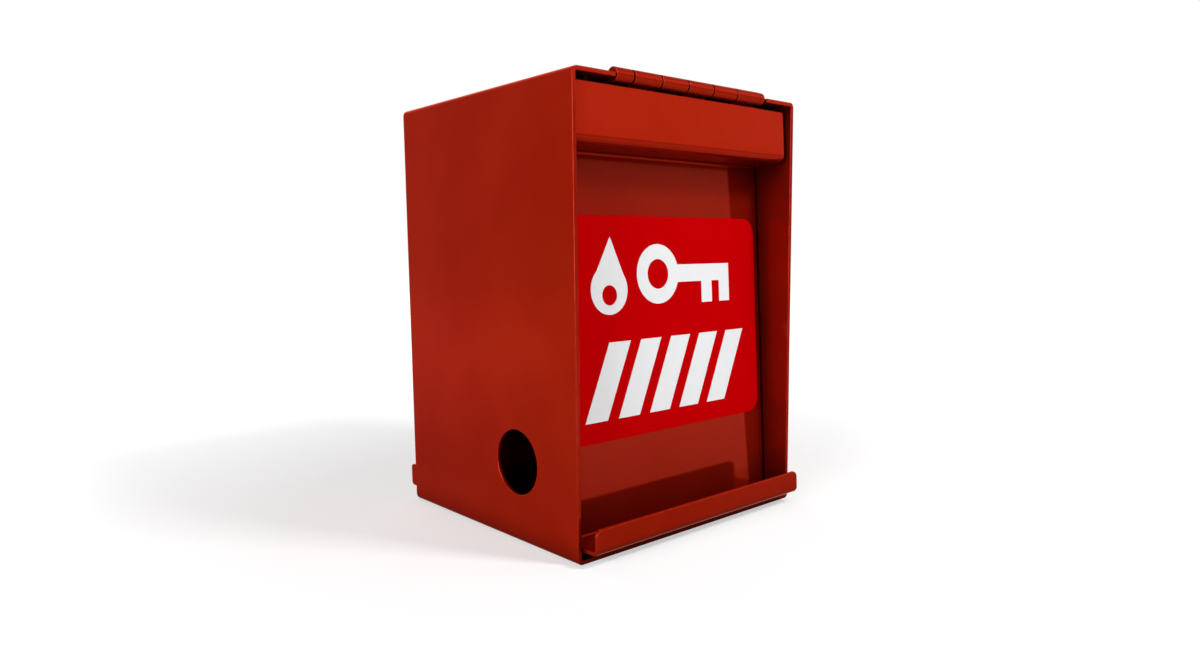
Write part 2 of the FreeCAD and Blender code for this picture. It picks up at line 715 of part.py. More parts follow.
# Where the switch bracket is riveted to the lock bracket.
ANGLE_RIVETS = [("guide_x", "case_low + case_high / 2 + %s * blade_pitch / 2" % i) for i in ("-1", "1")]


def make_rivets(name, spots, face, tail, label):
    """Rivets along Y, each with a domed head in front of a face."""
    rivets = []
    for number, (x, z) in enumerate(spots):
        shank = rod("%sShank%d" % (name, number), "Y", "rivet_radius", face, tail, x, z)
        head = doc.addObject("Part::Cone", "%sHead%d" % (name, number))
        head.Placement = FreeCAD.Placement(FreeCAD.Vector(), AXES["Y"])
        place(head, x, face + " - rivet_high", z)
        bind(head, "Radius1", "rivet_radius")
        bind(head, "Radius2", "rivet_head")
        bind(head, "Height", "rivet_high")
        rivets.append(joined("%s%d" % (name, number), [shank, head]))
    keep(group(name + "s", rivets), label)


def make_staple():
    """The padlock staple: a tab out of the bracket with the padlock's hole near its tip."""
    body = new_body("Staple")
    tip = "pivot_y + hole_y - shackle_radius - staple_edge"
    middle = "(pivot_up - staple_drop)"
    tab = rectangle(
        (tip, "base_face"),
        (middle + " - staple_height / 2", middle + " + staple_height / 2"),
    )
    pad = extrude(body, "StapleTab", "Pad", "X", "-staple_plate / 2", "staple_plate / 2", [tab])
    fillet(
        body, "StapleTip", pad, "staple_round",
        lambda e: along(e, "X") and near(e.CenterOfMass.y, value(tip)),
    )
    hole = [(("pivot_y + hole_y", middle), "shackle_radius")]
    extrude(body, "StapleHole", "Pocket", "X", "0 - staple_plate", "staple_plate", circles=hole)
    keep(body, "padlock_staple")


def make_lever():
    """The lever: a slotted plate hung on two ears, with a finger tab at its foot."""
    body = new_body("Lever")
    plate = rectangle(("0 - lever_half", "lever_half"), ("0 - lever_drop", "lever_tail"))
    pad = extrude(body, "LeverPlate", "Pad", "Y", "lever_front", "0 - lever_offset", [plate])
    pad = fillet(
        body, "LeverTop", pad, "lever_round",
        lambda e: along(e, "Y") and e.CenterOfMass.z > 0,
    )
    ear = rectangle(("lever_front", "lever_ear"), ("0 - lever_ear", "lever_ear - shut_gap"))
    for number, (low, high) in enumerate(mirrored("lever_half - lever_plate", "lever_half")):
        pad = extrude(body, "LeverEar%d" % number, "Pad", "X", low, high, [ear])
        fillet(
            body, "LeverEarRound%d" % number, pad, "lever_round",
            lambda e: along(e, "X")
            and near(e.CenterOfMass.y, value("lever_ear"))
            and value(low) < e.CenterOfMass.x < value(high),
        )
    grip = rectangle(
        ("lever_front - grip", "0 - lever_offset"),
        ("0 - lever_drop", "lever_plate - lever_drop"),
    )
    pad = extrude(body, "LeverGrip", "Pad", "X", "0 - lever_half", "lever_half", [grip])
    fillet(
        body, "LeverGripRound", pad, "lever_round",
        lambda e: along(e, "Z") and near(e.CenterOfMass.y, value("lever_front - grip")),
    )
    pivot = [((0, 0), "pivot_radius + running_gap")]
    wide = ("0 - lever_half - wall", "lever_half + wall")
    extrude(body, "LeverBore", "Pocket", "X", wide[0], wide[1], circles=pivot)
    slot = rectangle(
        ("0 - staple_plate / 2 - slot_side", "staple_plate / 2 + slot_side"),
        (
            "0 - staple_drop - staple_height / 2 - slot_low",
            "0 - staple_drop + staple_height / 2 + slot_high",
        ),
    )
    extrude(body, "LeverSlot", "Pocket", "Y", "lever_front - wall", "wall - lever_offset", [slot])
    keep(on_lever(body), "lock_lever")


def make_pivot():
    """The lever's pin, its clip and spacer, and the pin that stops the lever."""
    clip_low = "bracket_half + shut_gap"
    clip_high = clip_low + " + clip_thick"
    head_low = "0 - bracket_half - pin_head_high"
    head = rod("PivotHead", "X", "pin_head", head_low, "0 - bracket_half", "pivot_y", "pivot_up")
    shank = rod("PivotShank", "X", "pivot_radius", "0 - bracket_half", clip_low, "pivot_y", "pivot_up")
    neck = rod("PivotNeck", "X", "pivot_radius - groove", clip_low, clip_high, "pivot_y", "pivot_up")
    tip_end = clip_high + " + clip_thick"
    tip = rod("PivotTip", "X", "pivot_radius", clip_high, tip_end, "pivot_y", "pivot_up")
    keep(joined("PivotPin", [head, shank, neck, tip]), "pivot_pin")
    disc = rod("ClipDisc", "X", "clip_radius", clip_low, clip_high, "pivot_y", "pivot_up")
    bore = rod("ClipBore", "X", "pivot_radius - groove", clip_low, clip_high, "pivot_y", "pivot_up")
    mouth = block(
        "ClipMouth", (clip_low, clip_high),
        ("pivot_y - pivot_radius + groove", "pivot_y + pivot_radius - groove"),
        ("pivot_up - clip_radius - groove", "pivot_up"),
    )
    keep(without("PinClip", disc, [bore, mouth]), "pin_clip")
    span = ("lever_half + shut_gap", "ear_inner - shut_gap")
    sleeve = rod("SpacerSleeve", "X", "spacer_radius", span[0], span[1], "pivot_y", "pivot_up")
    hollow = rod("SpacerBore", "X", "pivot_radius", span[0], span[1], "pivot_y", "pivot_up")
    keep(without("Spacer", sleeve, [hollow]), "pivot_spacer")
    stop = rod("StopPin", "X", "stop_radius", "0 - bracket_half", "bracket_half", STOP_SPOT[0], STOP_SPOT[1])
    keep(stop, "stop_pin")


def make_spring():
    """The lever's torsion spring: a coil on the pin with a leg up and a leg down."""
    left = "0 - lever_half + lever_plate + 2 * wire_radius"
    right = left + " + coil_length"
    coil = rod("SpringCoil", "X", "coil_radius + wire_radius", left, right, "pivot_y", "pivot_up")
    hollow = rod("SpringBore", "X", "coil_inner", left, right, "pivot_y", "pivot_up")
    up_leg = rod(
        "SpringUpLeg", "Z", "wire_radius", "pivot_up", "pivot_up + spring_leg",
        left + " + wire_radius", "pivot_y + coil_radius",
    )
    down_leg = rod(
        "SpringDownLeg", "Z", "wire_radius", "pivot_up - spring_leg", "pivot_up",
        right + " - wire_radius", "pivot_y - coil_radius",
    )
    keep(without("Spring", joined("SpringSolid", [coil, up_leg, down_leg]), [hollow]), "lever_spring")


SCREW_SPOTS = [("screw_y", "case_low + case_high / 2 + %s * screw_pitch / 2" % i) for i in ("-1", "1")]


def make_switch_bracket():
    """The switch's angle bracket: a foot on the lock bracket and an ear beside the switch."""
    body = new_body("Angle")
    tall = ("case_low", "case_top")
    ear = rectangle(("screw_y - 2 * screw_head", "base_face"), tall)
    extrude(body, "AngleEar", "Pad", "X", "case_right", "case_right + angle_sheet", [ear])
    foot = rectangle(("case_left", "case_right + angle_sheet"), tall)
    extrude(body, "AngleFoot", "Pad", "Y", "base_face - angle_sheet", "base_face", [foot])
    holes = [(spot, "screw_radius") for spot in SCREW_SPOTS]
    extrude(
        body, "AngleScrewHoles", "Pocket", "X", "case_right - wall", "case_right + 2 * angle_sheet",
        circles=holes,
    )
    rivets = [(spot, "rivet_radius") for spot in ANGLE_RIVETS]
    extrude(
        body, "AngleRivetHoles", "Pocket", "Y", "base_face - 2 * angle_sheet", "base_face + wall",
        circles=rivets,
    )
    keep(body, "switch_bracket")


def make_switch():
    """The snap switch: case, cover, plunger, blade terminals, screws and nuts."""
    cover_left = "case_right - cover_thick"
    tall = ("case_low", "case_top")
    deep = ("case_front", "case_back")
    plunger_z = "pivot_up - plunger_drop"
    through = ("case_left - wall", "case_right + wall")
    bores = [
        rod("CaseScrewBore%d" % i, "X", "screw_radius", through[0], through[1], spot[0], spot[1])
        for i, spot in enumerate(SCREW_SPOTS)
    ]
    guide = rod(
        "CaseGuide", "Y", "plunger_radius + running_gap",
        "case_front - wall", "case_front + plunger_bore", "guide_x", plunger_z,
    )
    case = block("CaseBlock", ("case_left", cover_left), deep, tall)
    keep(without("SwitchCase", case, bores + [guide]), "switch_case")
    holes = [
        rod("CoverScrewBore%d" % i, "X", "screw_radius", through[0], through[1], spot[0], spot[1])
        for i, spot in enumerate(SCREW_SPOTS)
    ]
    cover = block("CoverBlock", (cover_left, "case_right"), deep, tall)
    keep(without("SwitchCover", cover, holes), "switch_cover")
    lever_face = (
        "pivot_y - lever_offset / cos(lever_swing * 1 deg)"
        " - (plunger_drop - plunger_radius) * tan(lever_swing * 1 deg)"
    )
    plunger = rod(
        "Plunger", "Y", "plunger_radius", lever_face + " + plunger_gap", "case_front + plunger_root",
        "guide_x", plunger_z,
    )
    keep(plunger, "switch_plunger")
    blades = []
    for i in range(int(value("blade_count"))):
        middle = "(case_low + case_high / 2 + (%d - (blade_count - 1) / 2) * blade_pitch)" % i
        blades.append(block(
            "Blade%d" % i,
            ("guide_x - blade_width / 2", "guide_x + blade_width / 2"),
            ("case_back", "case_back + blade_long"),
            (middle + " - blade_thick / 2", middle + " + blade_thick / 2"),
        ))
    keep(group("Blades", blades), "switch_terminals")
    screws = []
    nuts = []
    outer = "case_right + angle_sheet"
    for i, (y, z) in enumerate(SCREW_SPOTS):
        shank = rod("ScrewShank%d" % i, "X", "screw_radius", "case_left - nut_high", outer, y, z)
        head = rod("ScrewHead%d" % i, "X", "screw_head", outer, outer + " + screw_head_high", y, z)
        screws.append(joined("Screw%d" % i, [shank, head]))
        hexagon = doc.addObject("Part::Prism", "NutHex%d" % i)
        hexagon.Polygon = 6
        hexagon.Placement = FreeCAD.Placement(FreeCAD.Vector(), AXES["X"])
        place(hexagon, "case_left - nut_high", y, z)
        bind(hexagon, "Circumradius", "nut_radius")
        bind(hexagon, "Height", "nut_high")
        thread = rod("NutBore%d" % i, "X", "screw_radius", "case_left - nut_high", "case_left", y, z)
        nuts.append(without("Nut%d" % i, hexagon, [thread]))
    keep(group("Screws", screws), "switch_screws")
    keep(group("Nuts", nuts), "switch_nuts")


def check_and_write():
    """Stops on any failed object, then writes each piece to a file of its own."""
    doc.recompute()
    for item in doc.Objects:
        if "Invalid" in item.State or "Error" in item.State:
            raise RuntimeError("%s failed: %s" % (item.Label, item.State))
    for piece in PIECES:
        if piece.Shape.isNull() or not piece.Shape.isValid():
            raise RuntimeError("%s has no valid shape" % piece.Label)
    os.makedirs("parts", exist_ok=True)
    for piece in PIECES:
        piece.Shape.exportStep(os.path.join("parts", piece.Label + ".step"))
        print(piece.Label, len(piece.Shape.Solids), "solids", round(piece.Shape.Volume, 2), "mm3")


make_housing()
make_hinge()
make_door()
make_label()
make_door_stops()
make_lock_bracket()
make_rivets("BracketRivet", BRACKET_RIVETS, "base_face", "back", "bracket_rivets")
make_staple()
make_lever()
make_pivot()
make_spring()
make_switch_bracket()
make_rivets("AngleRivet", ANGLE_RIVETS, "base_face - angle_sheet", "back_inner", "switch_bracket_rivets")
make_switch()
check_and_write()
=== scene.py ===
import json
import math

import bmesh
import bpy
from mathutils import Matrix, Quaternion, Vector


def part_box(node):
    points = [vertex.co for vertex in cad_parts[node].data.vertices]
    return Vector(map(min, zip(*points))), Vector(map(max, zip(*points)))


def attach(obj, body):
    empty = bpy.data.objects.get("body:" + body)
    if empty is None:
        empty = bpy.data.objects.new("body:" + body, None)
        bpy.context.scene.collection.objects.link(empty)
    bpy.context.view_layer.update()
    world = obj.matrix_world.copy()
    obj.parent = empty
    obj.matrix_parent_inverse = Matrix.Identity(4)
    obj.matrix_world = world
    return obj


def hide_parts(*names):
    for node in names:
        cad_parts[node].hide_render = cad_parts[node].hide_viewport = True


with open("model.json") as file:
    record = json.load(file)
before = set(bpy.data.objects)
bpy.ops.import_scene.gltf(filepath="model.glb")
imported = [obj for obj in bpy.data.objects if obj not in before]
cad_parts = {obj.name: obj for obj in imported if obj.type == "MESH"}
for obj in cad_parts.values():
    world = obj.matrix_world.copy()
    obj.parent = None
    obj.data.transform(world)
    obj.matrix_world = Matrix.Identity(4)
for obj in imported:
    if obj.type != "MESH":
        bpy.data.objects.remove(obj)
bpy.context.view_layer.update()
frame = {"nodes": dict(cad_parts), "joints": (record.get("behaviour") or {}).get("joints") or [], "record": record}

MM = 0.001
WHITE = (1.0, 1.0, 1.0, 1.0)

# The photograph's size and its camera's focal length and centre, in pixels.
PHOTO_WIDTH = 1200
PHOTO_HEIGHT = 670
FOCAL_PX = 833.5
CENTRE_X_PX = 572.9
CENTRE_Y_PX = 348.7

# The width of the camera's sensor, in millimetres.
SENSOR_MM = 36.0

# Where the camera stood, in metres, and how it was turned, in radians.
CAMERA_AT = Vector((-0.2179, -0.2417, 0.0975))
CAMERA_YAW = 0.7036
CAMERA_DOWN = 0.1143
CAMERA_ROLL = -0.0139

# Lamp, its place, the spot that it points at, width and height in metres, power in watts, and roll
# in degrees.
LAMPS = [
    ("key", (-1.1, -0.2, 0.36), (0, 0, 0.04), 0.7, 0.7, 11.4, 0.0),
    ("front", (0.18, -0.42, 0.52), (0, 0, 0.09), 0.11, 0.11, 2.45, 0.0),
    ("softbox", (1.02, -0.98, 0.78), (0, 0, 0.09), 1.5, 0.8, 3.77, -9.0),
    ("rear", (0.35, 1.35, 0.95), (0, 0, 0.08), 1.6, 1.6, 8.0, 0.0),
]

# Strength of the surround's light on matt surfaces. The eye and mirrors see it at full strength.
AMBIENT = 0.1

# Half the floor's size, and the two distances between which its own white grows, in metres.
FLOOR_HALF = 6.0
FLOOR_NEAR = 0.5
FLOOR_FAR = 1.0

# Strength of that white up to the near distance and from the far one.
GLOW_NEAR = 0.12
GLOW_FAR = 0.5

# Bevel at the ends of rivets and screws and round the rivets' heads, in millimetres.
TIP_BEVEL = 0.2

# Rivets, in millimetres: radius of head and shank, height of the head and of its bevelled rim.
RIVET_HEAD = 3.3
RIVET_RADIUS = 2.0
RIVET_HIGH = 1.3
RIVET_RIM = 0.12

# Screws, in millimetres: radius of head and shank, and height of the head.
SCREW_HEAD = 2.8
SCREW_RADIUS = 1.5
SCREW_HIGH = 2.0

# Angles in radians at which the screw's rounded head has its points.
HEAD_TURNS = (0.5, 0.9, 1.2)

# The block that cuts a screw's slot, in millimetres: its sides, and its middle under the head's top.
SLOT_WIDE = 0.8
SLOT_LONG = 3.2
SLOT_CUTTER = 1.6
SLOT_MIDDLE = 0.4

# Size of the block's inner end as a share of its outer end.
SLOT_TAPER = 0.55

# Blade terminals, in millimetres: thickness, clipped corners, and the hole and how far back it is.
BLADE_THICK = 0.8
BLADE_CLIP_ACROSS = 0.8
BLADE_CLIP_ALONG = 1.0
EYE_RADIUS = 0.9
EYE_BACK = 2.4

# Number of straight steps round that hole.
EYE_STEPS = 20

# The lever's spring: where its coil starts and how far it turns, in degrees, and in how many steps.
COIL_START = 9.0
COIL_SWEEP = 5 * 360 + 113.0
COIL_STEPS = 200

# The spring's wire and legs, in millimetres and numbers of steps. The moving leg runs straight,
# bends and runs on.
WIRE_RADIUS = 0.6
FIXED_LEG_STEP = 1.1
FIXED_LEG_STEPS = 8
LEG_RUNS = (0.0, 1.0, 2.2)
LEG_RUN = 2.28
LEG_BEND = 1.7
LEG_BEND_STEPS = 8
LEG_TAILS = (1.0, 2.0, 3.0, 3.7)

# How far the shade painted into inner corners reaches out of them, in millimetres.
SHADE_REACH = 14.0

# How far the highlight painted on outer edges reaches from the edge, in millimetres.
HIGHLIGHT_REACH = 0.6

# The box round the door's recessed panel, in metres: its middle and half its size.
RECESS_CENTRE = (0, -0.038, 0.07)
RECESS_HALF = (0.0525, 0.01, 0.0585)

# The rear lugs lie outside, behind and below these, in millimetres.
LUG_INNER = 50.0
LUG_FRONT = 40.0
LUG_TOP = 20.0

# Faces within the first angle join into one flat, and edges past the second are rounded, in degrees.
FLAT_ANGLE = 0.5
SHARP_ANGLE = 28.0

# Edges past these angles stay crisp on turned pieces and on the wire, in degrees.
CRISP_ANGLE = 35.0
WIRE_ANGLE = 50.0

# Points closer than this count as one, in millimetres.
WELD = 0.001

# Above 50, large faces count for more than small ones in the shading of rounded pieces.
NORMAL_WEIGHT = 60

# Node, body, radius of its edges in millimetres, and steps round each edge.
SOFTENED = [
    ("door", "door", 0.45, 3),
    ("hinge_fixed_leaf", "housing", 0.22, 2),
    ("hinge_moving_leaf", "door", 0.22, 2),
    ("hinge_pin", "housing", 0.25, 2),
    ("door_stops", "housing", 0.3, 2),
    ("door_bumpers", "housing", 0.5, 3),
    ("lock_bracket", "housing", 0.2, 2),
    ("padlock_staple", "housing", 0.4, 2),
    ("lock_lever", "lock_lever", 0.25, 2),
    ("pivot_pin", "housing", 0.3, 2),
    ("pin_clip", "housing", 0.12, 2),
    ("pivot_spacer", "housing", 0.2, 2),
    ("stop_pin", "housing", 0.3, 2),
    ("switch_bracket", "housing", 0.2, 2),
    ("switch_case", "housing", 0.35, 3),
    ("switch_cover", "housing", 0.25, 2),
    ("switch_plunger", "switch_plunger", 0.9, 4),
    ("switch_nuts", "housing", 0.3, 2),
]

# Radius of the housing's own edges, in millimetres. Its lugs keep their sharp edges.
SHELL_EDGE = 0.35


def new_object(name, data):
    """An object in the scene."""
    piece = bpy.data.objects.new(name, data)
    bpy.context.scene.collection.objects.link(piece)
    return piece


def make_camera():
    """The photograph's camera, from where its vanishing lines put it."""
    data = bpy.data.cameras.new("camera")
    data.sensor_width = SENSOR_MM
    data.lens = SENSOR_MM * FOCAL_PX / PHOTO_WIDTH
    data.shift_x = (PHOTO_WIDTH / 2 - CENTRE_X_PX) / PHOTO_WIDTH
    data.shift_y = (CENTRE_Y_PX - PHOTO_HEIGHT / 2) / PHOTO_WIDTH
    data.clip_start = 0.01
    ahead = Vector((
        math.sin(CAMERA_YAW) * math.cos(CAMERA_DOWN),
        math.cos(CAMERA_YAW) * math.cos(CAMERA_DOWN),
        -math.sin(CAMERA_DOWN),
    ))
    right = Vector((math.cos(CAMERA_YAW), -math.sin(CAMERA_YAW), 0))
    up = right.cross(ahead)
    turned_right = math.cos(CAMERA_ROLL) * right + math.sin(CAMERA_ROLL) * up
    turned_up = -math.sin(CAMERA_ROLL) * right + math.cos(CAMERA_ROLL) * up
    camera = new_object("camera", data)
    axes = Matrix((turned_right, turned_up, -ahead)).transposed()
    camera.matrix_world = Matrix.Translation(CAMERA_AT) @ axes.to_4x4()
    bpy.context.scene.camera = camera


class Nodes:
    """The node tree of a material or a world, built up by short calls."""

    def __init__(self, owner, shader="Principled BSDF"):
        owner.use_nodes = True
        self.owner = owner
        self.tree = owner.node_tree
        self.shader = self.tree.nodes[shader]

    def add(self, kind, inputs=None, **settings):
        node = self.tree.nodes.new(kind)
        for key, setting in settings.items():
            setattr(node, key, setting)
        for key, source in (inputs or {}).items():
            self.feed(node.inputs[key], source)
        return node

    def feed(self, socket, source):
        if isinstance(source, bpy.types.NodeSocket):
            self.tree.links.new(source, socket)
        else:
            socket.default_value = source

    def put(self, name, source):
        self.feed(self.shader.inputs[name], source)

    def where(self):
        return self.add("ShaderNodeTexCoord").outputs["Object"]

    def noise(self, scale, detail=3.0, vector=None):
        vector = vector or self.where()
        node = self.add("ShaderNodeTexNoise", {"Vector": vector, "Scale": scale, "Detail": detail})
        return node.outputs["Fac"]

    def ramp(self, factor, low, high, start=0.0, end=1.0):
        node = self.add("ShaderNodeMapRange", {
            "Value": factor, "From Min": start, "From Max": end, "To Min": low, "To Max": high,
        })
        return node.outputs["Result"]

    def combine(self, operation, first, second):
        node = self.add("ShaderNodeMath", {0: first, 1: second}, operation=operation)
        return node.outputs[0]

    def mix(self, factor, low, high):
        node = self.add("ShaderNodeMix", data_type="RGBA")
        usable = [s for s in node.inputs if s.type in ("RGBA", "VALUE") and s.enabled]
        for key, source in (("Factor", factor), ("A", low), ("B", high)):
            self.feed([s for s in usable if s.name == key][0], source)
        return [s for s in node.outputs if s.type == "RGBA"][0]

    def bump(self, height, distance, strength=1.0):
        node = self.add("ShaderNodeBump", {"Height": height, "Distance": distance, "Strength": strength})
        self.put("Normal", node.outputs["Normal"])


def material_nodes(name):
    """The node tree of a new material."""
    return Nodes(bpy.data.materials.new(name))


def rgb(red, green, blue):
    """A colour given as it shows on screen, 0 to 255, as the renderer wants it."""
    def linear(part):
        part = part / 255
        return part / 12.92 if part <= 0.04045 else ((part + 0.055) / 1.055) ** 2.4
    return (linear(red), linear(green), linear(blue), 1.0)


def painted_highlight_edges(nodes, width):
    """One on convex edges, where a highlight is painted, and zero on flats."""
    bevel = nodes.add("ShaderNodeBevel", {"Radius": width}, samples=6)
    geometry = nodes.add("ShaderNodeNewGeometry")
    dot = nodes.add(
        "ShaderNodeVectorMath",
        {0: bevel.outputs["Normal"], 1: geometry.outputs["Normal"]},
        operation="DOT_PRODUCT",
    )
    return nodes.ramp(dot.outputs["Value"], 1.0, 0.0, 0.85, 0.998)


def in_recess(nodes):
    """One on the door's recessed panel, which keeps the most gloss, and zero elsewhere."""
    place = nodes.where()
    for operation, other in (("SUBTRACT", RECESS_CENTRE), ("DIVIDE", RECESS_HALF), ("ABSOLUTE", None)):
        inputs = {0: place} if other is None else {0: place, 1: Vector(other)}
        place = nodes.add("ShaderNodeVectorMath", inputs, operation=operation).outputs["Vector"]
    parts = nodes.add("ShaderNodeSeparateXYZ", {"Vector": place})
    most = nodes.combine("MAXIMUM", parts.outputs["X"], parts.outputs["Y"])
    most = nodes.combine("MAXIMUM", most, parts.outputs["Z"])
    return nodes.ramp(most, 1.0, 0.0, 0.96, 1.0)


def red_paint():
    """Glossy red enamel with faint orange peel and mottling, painted edge highlights and corner shade."""
    nodes = material_nodes("red_paint")
    mottle = nodes.noise(38.0, 3.0)
    base = nodes.mix(nodes.ramp(mottle, 0.0, 1.0, 0.35, 0.65), rgb(141, 22, 5), rgb(146, 26, 8))
    # A painted highlight: lighter pink on convex edges, broken into patches by noise.
    highlit_edges = painted_highlight_edges(nodes, HIGHLIGHT_REACH * MM)
    patches = nodes.ramp(nodes.noise(260.0, 4.0), 0.0, 1.0, 0.35, 0.6)
    patchy_highlight = nodes.combine("MULTIPLY", highlit_edges, patches)
    base = nodes.mix(nodes.ramp(patchy_highlight, 0.0, 0.8), base, rgb(186, 80, 66))
    # Painted shade: dark red mixed into the base colour where ambient occlusion finds inner corners.
    corner = nodes.add("ShaderNodeAmbientOcclusion", {"Distance": SHADE_REACH * MM}, samples=8)
    base = nodes.mix(nodes.ramp(corner.outputs["AO"], 1.0, 0.0, 0.3, 0.85), base, rgb(84, 6, 1))
    nodes.put("Base Color", base)
    nodes.put("Metallic", 0.5)
    nodes.put("Roughness", nodes.ramp(mottle, 0.055, 0.1, 0.35, 0.65))
    nodes.put("Specular IOR Level", 0.02)
    nodes.put("Specular Tint", (1.0, 0.5, 0.2, 1.0))
    nodes.put("Coat Weight", nodes.ramp(in_recess(nodes), 0.01, 0.06))
    nodes.put("Coat Roughness", 0.04)
    peel = nodes.combine("ADD", nodes.noise(700.0, 1.0), nodes.noise(400.0, 2.0))
    nodes.bump(peel, 0.012 * MM, 0.3)
    return nodes.owner


def label_red():
    """Bright red vinyl film."""
    nodes = material_nodes("label_red")
    nodes.put("Base Color", nodes.mix(nodes.noise(60.0), rgb(197, 0, 4), rgb(204, 1, 6)))
    nodes.put("Roughness", nodes.ramp(nodes.noise(300.0), 0.36, 0.44))
    nodes.put("Specular IOR Level", 0.0)
    nodes.bump(nodes.noise(500.0), 0.01 * MM, 0.2)
    return nodes.owner


def label_white():
    """White print on the vinyl."""
    nodes = material_nodes("label_white")
    nodes.put("Base Color", nodes.mix(nodes.noise(80.0), rgb(244, 246, 248), rgb(250, 251, 252)))
    nodes.put("Roughness", nodes.ramp(nodes.noise(300.0), 0.36, 0.46))
    nodes.put("Specular IOR Level", 0.2)
    nodes.bump(nodes.noise(500.0), 0.01 * MM, 0.2)
    return nodes.owner


def zinc_steel():
    """Bright zinc plate over rolled steel, with a fine grain."""
    nodes = material_nodes("zinc_steel")
    stretch = nodes.add("ShaderNodeMapping", {"Vector": nodes.where(), "Scale": (1.0, 1.0, 14.0)})
    grain = nodes.noise(320.0, 4.0, stretch.outputs["Vector"])
    cloud = nodes.noise(90.0, 3.0)
    nodes.put("Base Color", nodes.mix(cloud, rgb(172, 176, 180), rgb(206, 208, 210)))
    nodes.put("Metallic", 1.0)
    nodes.put("Roughness", nodes.ramp(grain, 0.25, 0.42, 0.3, 0.7))
    nodes.bump(grain, 0.02 * MM, 0.3)
    return nodes.owner


def bare_metal(name, dark, light, cloud, rough, grain):
    """Unplated metal, with clouds of tarnish and a fine grain."""
    nodes = material_nodes(name)
    nodes.put("Base Color", nodes.mix(nodes.noise(cloud), dark, light))
    nodes.put("Metallic", 1.0)
    nodes.put("Roughness", nodes.ramp(nodes.noise(500.0), *rough))
    nodes.bump(nodes.noise(grain), 0.01 * MM, 0.2)
    return nodes.owner


def plastic(name, dark, light, rough):
    """Moulded plastic with a fine spark-eroded grain."""
    nodes = material_nodes(name)
    nodes.put("Base Color", nodes.mix(nodes.noise(150.0), dark, light))
    nodes.put("Roughness", nodes.ramp(nodes.noise(600.0), rough, rough + 0.12))
    nodes.bump(nodes.noise(1800.0, 1.0), 0.02 * MM, 0.35)
    return nodes.owner


def make_materials():
    """One material for each of the record's slots."""
    drawn = (rgb(120, 120, 124), rgb(150, 150, 154))
    brass = (rgb(176, 140, 70), rgb(206, 172, 100))
    return {
        "red_paint": red_paint(),
        "label_red": label_red(),
        "label_white": label_white(),
        "rubber": plastic("rubber", rgb(22, 22, 23), rgb(34, 34, 35), 0.6),
        "zinc_steel": zinc_steel(),
        "spring_steel": bare_metal("spring_steel", *drawn, 200.0, (0.22, 0.36), 800.0),
        "switch_black": plastic("switch_black", rgb(20, 20, 22), rgb(30, 30, 32), 0.4),
        "switch_cover": plastic("switch_cover", rgb(44, 44, 47), rgb(56, 56, 60), 0.4),
        "plunger_ivory": plastic("plunger_ivory", rgb(196, 186, 160), rgb(214, 206, 184), 0.3),
        "terminal_brass": bare_metal("terminal_brass", *brass, 300.0, (0.25, 0.4), 900.0),
    }


def shaded(mesh, angle):
    """Smooth shading with the corners sharper than an angle kept crisp."""
    for face in mesh.polygons:
        face.use_smooth = True
    mesh.set_sharp_from_angle(angle=math.radians(angle))


def mesh_of(form, name):
    """A mesh of what has been built up, which is then let go."""
    mesh = bpy.data.meshes.new(name)
    form.to_mesh(mesh)
    form.free()
    return mesh


def evaluated(piece):
    """The mesh of an object with its modifiers applied."""
    bpy.context.view_layer.update()
    ready = piece.evaluated_get(bpy.context.evaluated_depsgraph_get())
    return bpy.data.meshes.new_from_object(ready)


def add_piece(name, mesh, body, slot):
    """A new piece of the visual model that moves with a body."""
    piece = new_object(name, mesh)
    mesh.materials.clear()
    mesh.materials.append(MATERIALS[slot])
    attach(piece, body)
    return piece


def replace_node(node, mesh, body="housing"):
    """Puts a finished mesh in the place of a node."""
    piece = add_piece(node + "_finished", mesh, body, SLOTS[node])
    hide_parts(node)


def in_lug(spot):
    """True near the rear lugs, whose edges run out into the folds of the shell."""
    return abs(spot.x) > LUG_INNER * MM and spot.y > LUG_FRONT * MM and spot.z < LUG_TOP * MM


def soften(node, body, width, segments=2, leave=None):
    """Rounds a node's sharp edges on a copy, as paint, plating and moulding leave them."""
    mesh = frame["nodes"][node].data.copy()
    mesh.materials.clear()
    form = bmesh.new()
    form.from_mesh(mesh)
    bmesh.ops.remove_doubles(form, verts=form.verts, dist=WELD * MM)
    flat = math.radians(FLAT_ANGLE)
    bmesh.ops.dissolve_limit(form, angle_limit=flat, verts=form.verts, edges=form.edges)
    weight = form.edges.layers.float.new("bevel_weight_edge")
    for edge in form.edges:
        middle = (edge.verts[0].co + edge.verts[1].co) / 2
        if edge.calc_face_angle() > math.radians(SHARP_ANGLE) and not (leave and leave(middle)):
            edge[weight] = 1.0
    form.to_mesh(mesh)
    form.free()
    piece = new_object(node + "_finished", mesh)
    rounding = piece.modifiers.new("rounding", "BEVEL")
    rounding.width = width * MM
    rounding.segments = segments
    rounding.limit_method = "WEIGHT"
    rounding.use_clamp_overlap = leave is None
    for face in mesh.polygons:
        face.use_smooth = True
    normals = piece.modifiers.new("normals", "WEIGHTED_NORMAL")
    normals.weight = NORMAL_WEIGHT
    normals.keep_sharp = True
    ready = evaluated(piece)
    bpy.data.objects.remove(piece)
    replace_node(node, ready, body)


def join_rings(form, rings):
    """Walls between rings of points that follow each other. A ring of one point closes an end."""
    for first, second in zip(rings, rings[1:]):
        steps = max(len(first), len(second))
        for i in range(steps):
            j = (i + 1) % steps
            if len(first) == 1:
                form.faces.new((first[0], second[j], second[i]))
            elif len(second) == 1:
                form.faces.new((first[i], first[j], second[0]))
            else:
                form.faces.new((first[i], first[j], second[j], second[i]))


